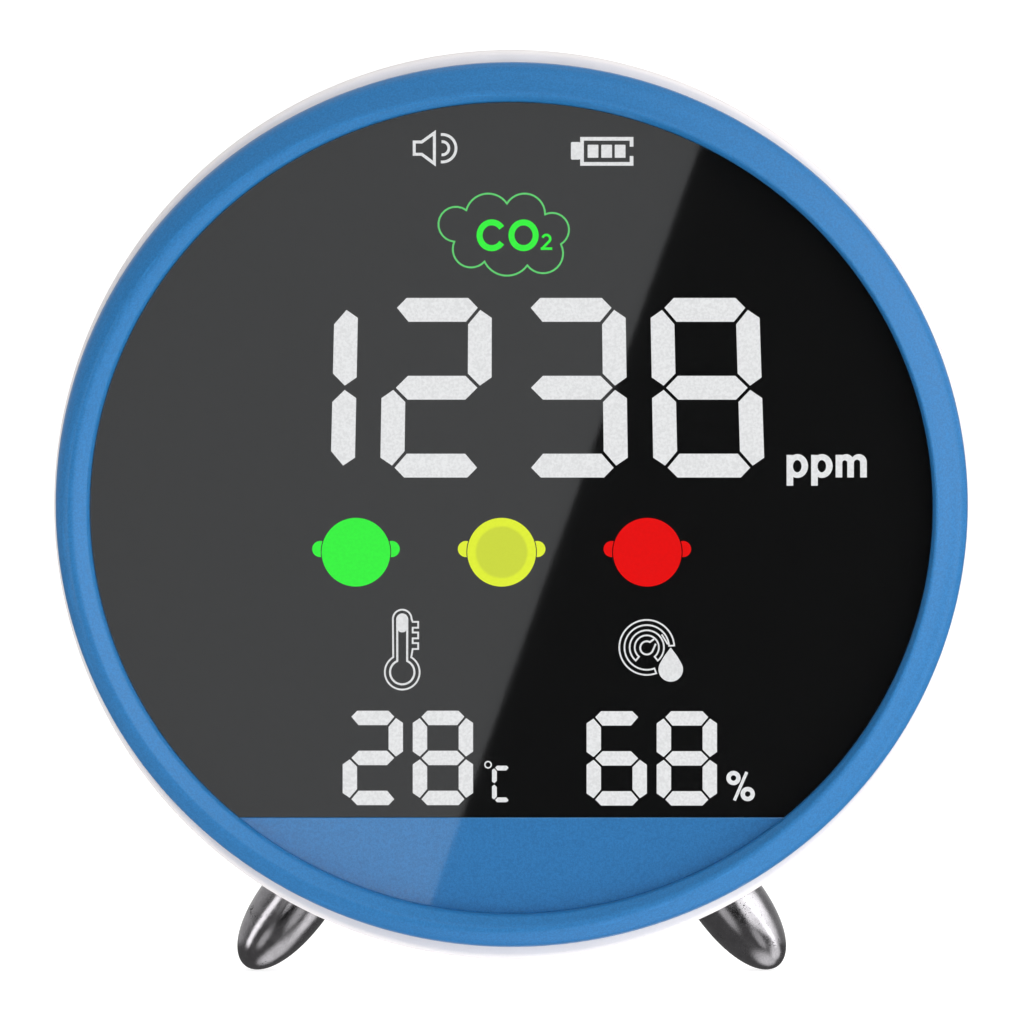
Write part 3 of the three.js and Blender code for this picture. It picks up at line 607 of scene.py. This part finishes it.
def make_units():
    """The plain unit signs: parts per million, per cent, degrees Celsius."""
    letters = [letter_p(30.0), letter_p(32.68), letter_m(35.35)]
    lit_piece("ppm_sign", letters, WHITE_LIGHT)

    sign = [ring(24.2, -29.85, 0.78, 0.48), ring(25.75, -31.6, 0.78, 0.48)]
    sign.append(line([(24.3, -32.3), (25.65, -29.2)], 0.34))
    lit_piece("percent_sign", sign, WHITE_LIGHT)

    degree = [ring(-2.58, -28.4, 0.42, 0.15)]
    degree.append((figures("C", 0.0, -30.5, 2, 2.15, 3.98, 0.52, 0.12), []))
    lit_piece("celsius_sign", degree, WHITE_LIGHT)


# The small letters' height above the middle, and the width of their stems.
LETTER_TOP = 5.42
STEM = 0.72


def letter_p(left):
    """A small p: a stem with a round bowl."""
    foot, bowl, x, z = 2.05, 1.16, left + 1.18, 4.2
    meet = degrees(acos((left + STEM - x) / bowl))
    round_part = arc(x, z, bowl, -meet, meet, 40, 1.12)
    outline = [(left, foot), (left + STEM, foot), *round_part, (left, LETTER_TOP)]
    return [outline], [circle(x - 0.02, z - 0.02, 0.47, 32, 1.42)]


def letter_m(left):
    """A small m: three stems under two round bows."""
    base, shoulder = 2.95, 4.55
    second, third = left + 1.27, left + 2.68
    path = [(left, base), (left, LETTER_TOP), (left + STEM - 0.05, LETTER_TOP)]
    path += arc(left + 1.15, 4.62, 0.86, 118, 35, 10, 1.02)
    path += arc(left + 2.53, 4.62, 0.87, 140, 0, 16, 1.01)
    path += [(third + STEM, base), (third, base)]
    path += arch(second + STEM, third, shoulder) + [(second + STEM, base), (second, base)]
    path += arch(left + STEM, second, shoulder) + [(left + STEM, base)]
    return [path], []


def arch(left, right, z):
    """A half circle over the gap between two stems, from right to left."""
    return arc((left + right) / 2, z, (right - left) / 2, 0, 180, 10)


def make_co2_sign():
    """The generic sign for the gas, in a cloud of round bulges that meet in cusps."""
    letters = [line(arc(-2.18, 29.38, 1.33, 35, 325, 30, 1.06), 0.66)]
    letters.append(ring(1.29, 29.38, 1.65, 0.66, 1.05))
    small_two = arc(3.78, 29.0, 0.42, 165, -35, 12) + [(3.32, 27.92)]
    letters.append(line(small_two, 0.28))
    letters.append(line([(3.16, 27.92), (4.42, 27.92)], 0.28))
    lit_piece("co2_sign", letters, GREEN_LIGHT)

    cusps = [(-0.52, 32.84), (3.64, 31.66), (5.36, 28.41), (1.70, 26.09), (-2.97, 26.51), (-6.26, 28.68),
             (-4.96, 32.12)]
    crowns = [(1.5, 33.93), (6.2, 30.4), (5.3, 26.3), (-0.6, 24.97), (-5.85, 26.45), (-8.0, 30.5),
              (-2.6, 33.93)]
    cloud = []
    for i, cusp in enumerate(cusps):
        cloud += arc_through(cusp, crowns[i], cusps[(i + 1) % len(cusps)])
    lit_piece("cloud_outline", [closed_line(cloud, 0.2)], CLOUD_LIGHT)


def make_indicators():
    """A round light with an ear on each side, parted from it by a thin dark line."""
    radius, ear_radius, reach, rise, part = 3.75, 0.88, 3.9, 0.35, 0.1
    far, tilt, edge = hypot(reach, rise), degrees(atan2(rise, reach)), radius + part
    half = degrees(acos((far * far + edge * edge - ear_radius ** 2) / (2 * far * edge)))
    span = degrees(acos((far * far + ear_radius ** 2 - edge * edge) / (2 * far * ear_radius)))
    ear = arc(reach, rise, ear_radius, tilt - 180 + span, tilt + 180 - span, 28)
    ear += arc(0, 0, edge, tilt + half, tilt - half, 10)[1:-1]

    yellow = centre("indicator_yellow")
    dull_middle = ((yellow.x, LIT_DEPTHS[0], yellow.z), radius, (0.58, 0.66, 0.05))
    yellow_light = glow("yellow_light", (0.74, 0.85, 0.04), 0.02, dull_middle)
    for colour, material in (("green", GREEN_LIGHT), ("yellow", yellow_light), ("red", RED_LIGHT)):
        middle = centre("indicator_" + colour)
        outlines = [circle(middle.x, middle.z, radius)]
        for side in (1, -1):
            outlines.append([(middle.x + side * x, middle.z + z) for x, z in ear])
        lit_piece(colour + "_light_disc", [(outlines, [])], material,
                  ("indicator_" + colour,))


def make_icons():
    """The loudspeaker, the battery, the thermometer and the hygrometer."""
    horn = [(-10.64, 38.22), (-9.82, 38.22), (-8.44, 37.2), (-8.44, 40.56), (-9.82, 39.56), (-10.64, 39.56)]
    speaker = [closed_line(horn, 0.32)]
    for radius in (0.72, 1.5):
        speaker.append(line(arc(-7.58, 38.88, radius, -96, 96, 24), 0.3))
    lit_piece("speaker_icon", speaker, ICON_LIGHT)

    case = [(13.08, 39.05), (13.08, 39.91), (7.67, 39.91), (7.67, 37.17), (13.08, 37.17), (13.08, 38.03)]
    battery = [line(case, 0.4), ([rounded_box(6.97, 38.6, 1.02, 1.92, 0.15)], [])]
    for x in (8.87, 10.36, 11.83):
        battery.append(([rounded_box(x, 38.55, 1.17, 1.42, 0.06)], []))
    lit_piece("battery_icon", battery, ICON_LIGHT)

    lit_piece("thermometer_icon", thermometer(), ICON_LIGHT)
    lit_piece("hygrometer_icon", hygrometer(), ICON_LIGHT)


def thermometer():
    """Two outlines of a thermometer, one in the other, with a filled top and three teeth."""
    x, bulb_z, top = -11.95, -18.3, -12.5
    tooth_top, pitch, tooth, gum, tip = -12.81, 1.16, 0.64, 1.14, 1.74
    comb = []
    for i in range(3):
        z = tooth_top - pitch * i
        comb += [(x + gum, z), (x + tip, z), (x + tip, z - tooth), (x + gum, z - tooth)]
    shapes = []
    for tube, bulb, rise, width, teeth in ((1.02, 1.9, 0, 0.19, comb), (0.55, 1.33, -0.05, 0.22, [])):
        neck = 90 - degrees(acos(1 - (tube / bulb) ** 2 * 0.5))
        path = arc(x, bulb_z, bulb, neck, neck - 360 + 2 * (90 - neck), 40)
        path += arc(x, top + rise, tube, 180, 0, 16)
        shapes.append(closed_line(path + teeth, width))
    shapes.append(([rounded_box(x, -13.0, 0.96, 1.9, 0.4)], []))
    return shapes


def band(x, z, outer, inner, start, end, width):
    """The outline of a curved band with closed ends."""
    path = arc(x, z, outer, start, end, 44) + arc(x, z, inner, end, start, 44)
    return closed_line(path, width)


def hygrometer():
    """Curved bands round a small dial with a needle, and a drop in front."""
    x, z = 14.74, -15.6
    shapes = [band(x, z, 3.0, 2.44, 4, 290, 0.18), band(x, z, 1.87, 1.32, -50, 230, 0.18)]
    shapes.append(line([(x + 1.62, z + 1.42), (x + 2.3, z + 0.34)], 0.18))
    dial = arc(x, z - 0.05, 0.72, 62, 330, 28) + [(x + 0.98, z + 0.4)]
    shapes.append(line([(x + 0.8, z + 0.92), *dial], 0.2))
    drop_x, drop_z, radius = 17.35, -18.0, 1.34
    drop = arc(drop_x, drop_z, radius, 152, 388, 30)
    right = smooth_run([drop[-1], (drop_x + 0.72, drop_z + 1.42), (drop_x, z)], 5)
    left = [(2 * drop_x - px, pz) for px, pz in right[::-1]]
    shapes.append(([drop[:-1] + right + left[1:-1]], []))
    return shapes


# ---------------------------------------------------------------------------------------------
# The casing, its feet and its back
# ---------------------------------------------------------------------------------------------

# Depths of the rear cover's face and back, of the floors of its pockets, and of what sits in them.
COVER_FACE = 38.4
COVER_BACK = 36.2
LABEL_FLOOR = 38.1
SCREW_FLOOR = 37.0
LABEL_DEPTHS = (38.33, 38.12)
SCREW_DEPTHS = (38.25, 37.05)
SCREW_RECESS_FLOOR = 37.5

# Depths of the socket's shell, the bottom of its mouth, its tongue and the contacts on it.
SHELL_DEPTHS = (38.2, 28.3)
MOUTH_FLOOR = 30.8
TONGUE_DEPTHS = (37.4, 30.7)
CONTACT_DEPTHS = (37.1, 32.0)
CONTACTS_IN_ROW = 12
CONTACT_PITCH = 0.5

# The bottom of the dish in a key's outer face.
KEY_FACE = 39.22


def make_housing():
    """A turned shell with a rounded back, a step for the rear cover and a lip behind the bezel."""
    outside = [(49.4, 5.1), (49.72, 5.2), (49.92, 5.42), (50, 5.7)]
    outside += smooth_run([(50, 9), (49.6, 20), (48.4, 30), (47.2, 33), (45.2, 35.6), (42.6, 37.3),
                           (40.2, 38.08)], 8)
    inside = [(39.85, 38.1), (39.7, 37.95), (39.7, 36.1), (37.5, 36.1), (37.5, 34.4), (41.5, 34.4),
              (44.2, 32.4), (46.0, 29.6), (47.3, 20), (47.5, 8.8), (47.5, 5.2), (47.6, 5.1)]
    bm = bmesh.new()
    turned(bm, outside + inside, about(0, 0, CASE_OVAL), RING_SIDES)
    piece("casing", bm, WHITE, replaces=("housing",))


def make_feet():
    """Bullet-shaped feet on the casing's lower sides, splayed outward."""
    around, splay, depth = radians(28.6), radians(37), 13
    radius, taper, reach, sunk, bluntness, steps = 3.9, 9.5, 8.8, 1.6, 2.3, 28
    skin = 49.87
    profile = [(0, reach)]
    for i in range(1, steps + 1):
        from_tip = taper * (1 - cos(pi / 2 * i / steps))
        left = 1 - from_tip / taper
        profile.append((radius * sqrt(max(1 - left ** bluntness, 0)), reach - from_tip))
    profile += [(radius, -sunk), (0, -sunk)]
    for name, side in (("left", -1), ("right", 1)):
        anchor = Vector((side * skin * sin(around), depth, -skin * CASE_OVAL * cos(around)))
        axis = Vector((side * sin(splay), 0, -cos(splay)))
        across = Vector((side * cos(splay), 0, sin(splay)))

        def place(wide, along, turn):
            out = across * cos(turn) + Vector((0, 1, 0)) * sin(turn)
            return (anchor + axis * along + out * wide) * MM

        bm = bmesh.new()
        turned(bm, profile, place, 96)
        stand_on_table(bm)
        piece(name + "_foot_bullet", bm, NICKEL, replaces=("foot_" + name,))


def stand_on_table(bm):
    """Flattens what would reach below the table."""
    for vertex in bm.verts:
        world = BODY @ vertex.co
        world.z = max(world.z, 0)
        vertex.co = BODY.inverted() @ world


def make_rear_pad():
    """A low rubber block with a level sole. Its outline is drawn on the table, not in the upright frame."""
    low, high = (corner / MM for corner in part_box("rear_pad"))
    middle = (low + high) / 2

    def place(x, y, height):
        return BODY.inverted() @ (Vector((x, y, height)) * MM)

    bm = bmesh.new()
    width, depth = high.x - low.x, high.y - low.y
    outline = rounded_box(middle.x, middle.y, width, depth, min(width, depth) * 0.48)
    plate(bm, [outline], 0, high.z + 0.5, edge=0.6, place=place)
    piece("rear_rest", bm, RUBBER, replaces=("rear_pad",))


def cross(x, z, arm, half):
    """A Phillips recess's outline."""
    quarter = [(arm, -half), (arm, half), (half, half)]
    points = []
    for turn in range(4):
        for px, pz in quarter:
            for _ in range(turn):
                px, pz = -pz, px
            points.append((x + px, z + pz))
    return points


def make_rear_cover():
    """The cover with its vent slots, sound holes and openings, its blank label and its four screws."""
    vent, grille, usb = centre("co2_sensor"), centre("sounder"), centre("usb_socket")
    keys = [centre(name + "_button") for name in ("power", "mode", "sound")]
    holes = [rounded_box(vent.x, vent.z + 3.8 * i, 20, 1.8, 0.85) for i in range(-2, 3)]
    for count, reach in ((1, 0), (6, 3), (12, 6)):
        for i in range(count):
            turn = 2 * pi * i / count
            holes.append(circle(grille.x + reach * cos(turn), grille.z + reach * sin(turn), 0.8, 24))
    holes += [circle(key.x, key.z, 3.85) for key in keys]
    holes.append(rounded_box(usb.x, usb.z, 9.4, 3.7, 1.8))

    label = centre("rating_label")
    pockets = [(rounded_box(label.x, label.z, 34.4, 9.4, 1.2), LABEL_FLOOR)]
    screws = [centre(f"cover_screw_{i}") for i in range(1, 5)]
    pockets += [(circle(screw.x, screw.z, 2.6, 48), SCREW_FLOOR) for screw in screws]

    bm = bmesh.new()
    rim = circle(0, 0, 39.4, RING_SIDES, CASE_OVAL)
    plate(bm, [rim], COVER_FACE, COVER_BACK, holes=holes, pockets=pockets, edge=0.4, hole_edge=0.22)
    piece("cover_plate", bm, WHITE, replaces=("rear_cover",))

    bm = bmesh.new()
    plate(bm, [rounded_box(label.x, label.z, 34, 9, 1.0)], *LABEL_DEPTHS, edge=0.04)
    piece("blank_label", bm, LABEL, replaces=("rating_label",))

    for i, screw in enumerate(screws, 1):
        bm = bmesh.new()
        recess = (cross(screw.x, screw.z, 1.15, 0.24), SCREW_RECESS_FLOOR)
        head = circle(screw.x, screw.z, 2.4, 48)
        plate(bm, [head], *SCREW_DEPTHS, pockets=[recess], edge=0.4, hole_edge=0.05)
        piece(f"cover_screw_head_{i}", bm, STEEL, replaces=(f"cover_screw_{i}",))


def make_usb():
    """A USB-C socket: an oval shell, a tongue in its mouth, and rows of contacts on both sides of it."""
    usb = centre("usb_socket")
    bm = bmesh.new()
    shell = rounded_box(usb.x, usb.z, 8.9, 3.2, 1.5)
    mouth = rounded_box(usb.x, usb.z, 8.34, 2.64, 1.25)
    plate(bm, [shell], *SHELL_DEPTHS, pockets=[(mouth, MOUTH_FLOOR)], edge=0.1, hole_edge=0.08)
    piece("usb_shell", bm, STEEL, replaces=("usb_socket",))

    bm = bmesh.new()
    plate(bm, [rounded_box(usb.x, usb.z, 6.6, 0.7, 0.2)], *TONGUE_DEPTHS, edge=0.12)
    piece("usb_tongue_blade", bm, BLACK, replaces=("usb_tongue",))

    bm = bmesh.new()
    for i in range(CONTACTS_IN_ROW):
        x = usb.x + (i - (CONTACTS_IN_ROW - 1) / 2) * CONTACT_PITCH
        for z in (usb.z - 0.36, usb.z + 0.36):
            plate(bm, [rounded_box(x, z, 0.26, 0.06, 0.02, 2)], *CONTACT_DEPTHS)
    piece("usb_contacts", bm, GOLD)


def key_marks(x, z):
    """Plain printed signs for the three keys, by name, drawn as they are seen from behind."""
    power = [line(arc(x, z - 0.1, 1.05, 122, 418, 28), 0.26), line([(x, z + 0.15), (x, z + 1.4)], 0.26)]
    mode = [line([(x - 0.95, z + step), (x + 0.95, z + step)], 0.26) for step in (-0.65, 0, 0.65)]
    horn = [(x + 1.25, z - 0.35), (x + 0.75, z - 0.35), (x + 0.05, z - 0.95), (x + 0.05, z + 0.95),
            (x + 0.75, z + 0.35), (x + 1.25, z + 0.35)]
    sound = [([horn], []), line(arc(x + 0.05, z, 0.8, 130, 230, 12), 0.24)]
    return {"power": power, "mode": mode, "sound": sound}


def make_keys():
    """Dished key caps with a collar behind the cover, and a printed sign on each."""
    profile = [(0, KEY_FACE), (1.9, KEY_FACE)]
    profile += smooth_run([(2.4, KEY_FACE + 0.05), (2.9, 39.38), (3.12, 39.4), (3.4, 39.3), (3.57, 39.08),
                           (3.6, 38.8)], 4)
    profile += [(3.6, 36.1), (4.5, 36.1), (4.6, 36.0), (4.6, 35.0), (1.5, 35.0), (1.5, 33.3), (0, 33.3)]
    for name in ("power", "mode", "sound"):
        middle = centre(name + "_button")
        bm = bmesh.new()
        turned(bm, profile, about(middle.x, middle.z))
        piece(name + "_key_cap", bm, WHITE, name + "_key", (name + "_button",))
        bm = bmesh.new()
        for outlines, holes in key_marks(middle.x, middle.z)[name]:
            plate(bm, outlines, KEY_FACE + 0.03, KEY_FACE - 0.05, holes=holes)
        piece(name + "_key_mark", bm, MARK_GREY, name + "_key")


# ---------------------------------------------------------------------------------------------
# Camera, floor and light
# ---------------------------------------------------------------------------------------------

# The camera looks at FACE_MIDDLE from this far off, and sees this width there.
CAMERA_DISTANCE = 3000
FACE_MIDDLE = (0.03, 4.0, -0.82)
VIEW_WIDTH = 111.8
SENSOR = 36

# The floor's own glow as a light and to the camera, and the card's.
FLOOR_LIGHT = 0.94
FLOOR_SEEN = 0.78
CARD_LIGHT = 1.35


def make_camera():
    """A long lens square to the face, so it looks down by the casing's lean."""
    data = bpy.data.cameras.new("camera")
    data.sensor_width = SENSOR
    data.lens = SENSOR * CAMERA_DISTANCE / VIEW_WIDTH
    data.clip_start = 0.1
    data.clip_end = 60
    camera = bpy.data.objects.new("camera", data)
    bpy.context.scene.collection.objects.link(camera)
    x, y, z = FACE_MIDDLE
    stand = Matrix.Translation(Vector((x, y - CAMERA_DISTANCE, z)) * MM)
    camera.matrix_world = BODY @ stand @ Matrix.Rotation(pi / 2, 4, "X")
    bpy.context.scene.camera = camera


def make_floor():
    """A pale round floor that lights the object softly and doesn't show in polished surfaces."""
    material = bpy.data.materials.new("floor")
    material.use_nodes = True
    shader = material.node_tree.nodes["Principled BSDF"]
    shader.inputs["Base Color"].default_value = (0.5, 0.5, 0.5, 1)
    shader.inputs["Roughness"].default_value = 0.9
    shader.inputs["Specular IOR Level"].default_value = 0.1
    shader.inputs["Emission Color"].default_value = (1, 1, 1, 1)
    seen = wire(material.node_tree, "ShaderNodeLightPath", {}).outputs["Is Camera Ray"]
    strength = remap(material.node_tree, seen, 0, 1, FLOOR_LIGHT, FLOOR_SEEN)
    material.node_tree.links.new(strength, shader.inputs["Emission Strength"])
    bm = bmesh.new()
    bmesh.ops.create_circle(bm, cap_ends=True, radius=20, segments=96)
    mesh = bpy.data.meshes.new("floor")
    bm.to_mesh(mesh)
    bm.free()
    mesh.materials.append(material)
    floor = bpy.data.objects.new("floor", mesh)
    bpy.context.scene.collection.objects.link(floor)
    floor.visible_glossy = False


def make_glare_card():
    """A soft card behind the camera. Its straight right edge, mirrored in the polished mask and lower
    panel, is the edge of the glare."""
    behind = -CAMERA_DISTANCE - 40
    top, bottom = Vector((41.2, 79.4)), Vector((-17.8, -86.6))
    slope = (top - bottom) / (top - bottom).y
    reach, left = 300, -600
    upper = top + slope * (reach - top.y)
    lower = bottom - slope * (reach + bottom.y)
    corners = [(left, -reach), tuple(lower), tuple(upper), (left, reach)]
    material = bpy.data.materials.new("card")
    material.use_nodes = True
    shader = material.node_tree.nodes["Principled BSDF"]
    shader.inputs["Base Color"].default_value = (0, 0, 0, 1)
    shader.inputs["Emission Color"].default_value = (1, 1, 1, 1)
    shader.inputs["Emission Strength"].default_value = CARD_LIGHT
    mesh = bpy.data.meshes.new("glare_card")
    mesh.from_pydata([Vector((x, behind, z)) * MM for x, z in corners], [], [(0, 1, 2, 3)])
    mesh.materials.append(material)
    card = bpy.data.objects.new("glare_card", mesh)
    bpy.context.scene.collection.objects.link(card)
    card.matrix_world = BODY
    card.visible_camera = False


# Soft light by direction: (towards, cosine where it starts, cosine where it is full, how much it adds).
LIGHTS = (
    ((0.78, -0.62, 0.03), 0.5, 0.94, 1.9),
    ((0.1, -0.85, 0.52), 0.75, 0.95, 0.82),
    ((0, 0, 1), 0.5, 0.95, 0.5),
    ((-0.6, 1, 0.5), 0.2, 0.95, 0.5),
    ((0.9, 0.5, 0.3), 0.5, 0.95, 0.25),
)
# Long soft lights that show only in polished surfaces: (one end, other end, half width, how much it adds).
STRIPS = (
    ((-0.62, -0.63, 0.47), (-0.953, -0.26, -0.155), 0.2, 2.9),
    ((0.62, -0.63, 0.47), (0.953, -0.26, -0.155), 0.2, 1.7),
    ((-0.38, -0.88, -0.22), (-0.45, -0.75, -0.45), 0.26, 0.8),
    ((0.38, -0.88, -0.22), (0.45, -0.75, -0.45), 0.26, 0.8),
)
# Round lights that show only in polished surfaces, written like LIGHTS.
SHEENS = (
    ((0.3, -0.2, -0.93), 0.8, 0.99, 1.3),
    ((0.88, -0.2, -0.42), 0.88, 0.98, 1.5),
    ((0.7, -0.2, 0.68), 0.85, 0.97, 1.3),
)
# The light from everywhere, and the direction of the dark gap that the display mirrors.
BASE_LIGHT = 0.14
DARK_FRONT = (0, -1, 0.08)


def make_world():
    """Soft studio light from the sides, above and behind, with a dark gap in front. The camera sees plain
    white."""
    world = bpy.data.worlds.new("studio")
    bpy.context.scene.world = world
    world.use_nodes = True
    tree = world.node_tree
    tree.nodes.clear()
    direction = wire(tree, "ShaderNodeTexCoord", {}).outputs["Generated"]

    def toward(way):
        inputs = {0: direction, 1: tuple(Vector(way).normalized())}
        return wire(tree, "ShaderNodeVectorMath", inputs, operation="DOT_PRODUCT").outputs["Value"]

    def join(first, second, operation):
        return wire(tree, "ShaderNodeMath", {0: first, 1: second}, operation=operation).outputs[0]

    def cone(way, start, full, amount):
        return remap(tree, toward(way), start, full, 0, amount)

    def strip(one_end, other_end, half_width, amount):
        first, last = Vector(one_end).normalized(), Vector(other_end).normalized()
        reach = first.angle(last) / 2
        aside = wire(tree, "ShaderNodeMath", {0: toward(first.cross(last))}, operation="ABSOLUTE")
        wide = remap(tree, aside.outputs[0], half_width * 0.5, half_width, amount, 0)
        long = remap(tree, toward(first + last), cos(reach + 0.15), cos(reach), 0, 1)
        return join(wide, long, "MULTIPLY")

    soft, polished = 0.0, 0.0
    for light in LIGHTS:
        soft = join(soft, cone(*light), "ADD")
    for light in STRIPS:
        polished = join(polished, strip(*light), "ADD")
    for light in SHEENS:
        polished = join(polished, cone(*light), "ADD")
    path = wire(tree, "ShaderNodeLightPath", {})
    above = remap(tree, toward((0, 0, 1)), -0.12, 0.02, 0, 1)
    total = join(join(soft, above, "MULTIPLY"), BASE_LIGHT, "ADD")
    total = join(total, join(polished, path.outputs["Is Glossy Ray"], "MULTIPLY"), "ADD")
    gap = remap(tree, toward(DARK_FRONT), 0.93, 0.985, 1, 0.02)
    total = join(total, gap, "MULTIPLY")
    lit = wire(tree, "ShaderNodeBackground", {"Color": (1, 1, 1, 1), "Strength": total})
    plain = wire(tree, "ShaderNodeBackground", {"Color": (1, 1, 1, 1), "Strength": 1.0})
    both = wire(tree, "ShaderNodeMixShader",
                {0: path.outputs["Is Camera Ray"], 1: lit.outputs[0], 2: plain.outputs[0]})
    output = wire(tree, "ShaderNodeOutputWorld", {})
    tree.links.new(both.outputs[0], output.inputs["Surface"])
    bpy.context.scene.view_settings.view_transform = "Standard"


make_camera()
make_floor()
make_glare_card()
make_world()
finish_kept_nodes()
make_bezel()
make_lens_and_mask()
make_readouts()
make_units()
make_co2_sign()
make_indicators()
make_icons()
make_housing()
make_feet()
make_rear_pad()
make_rear_cover()
make_usb()
make_keys()
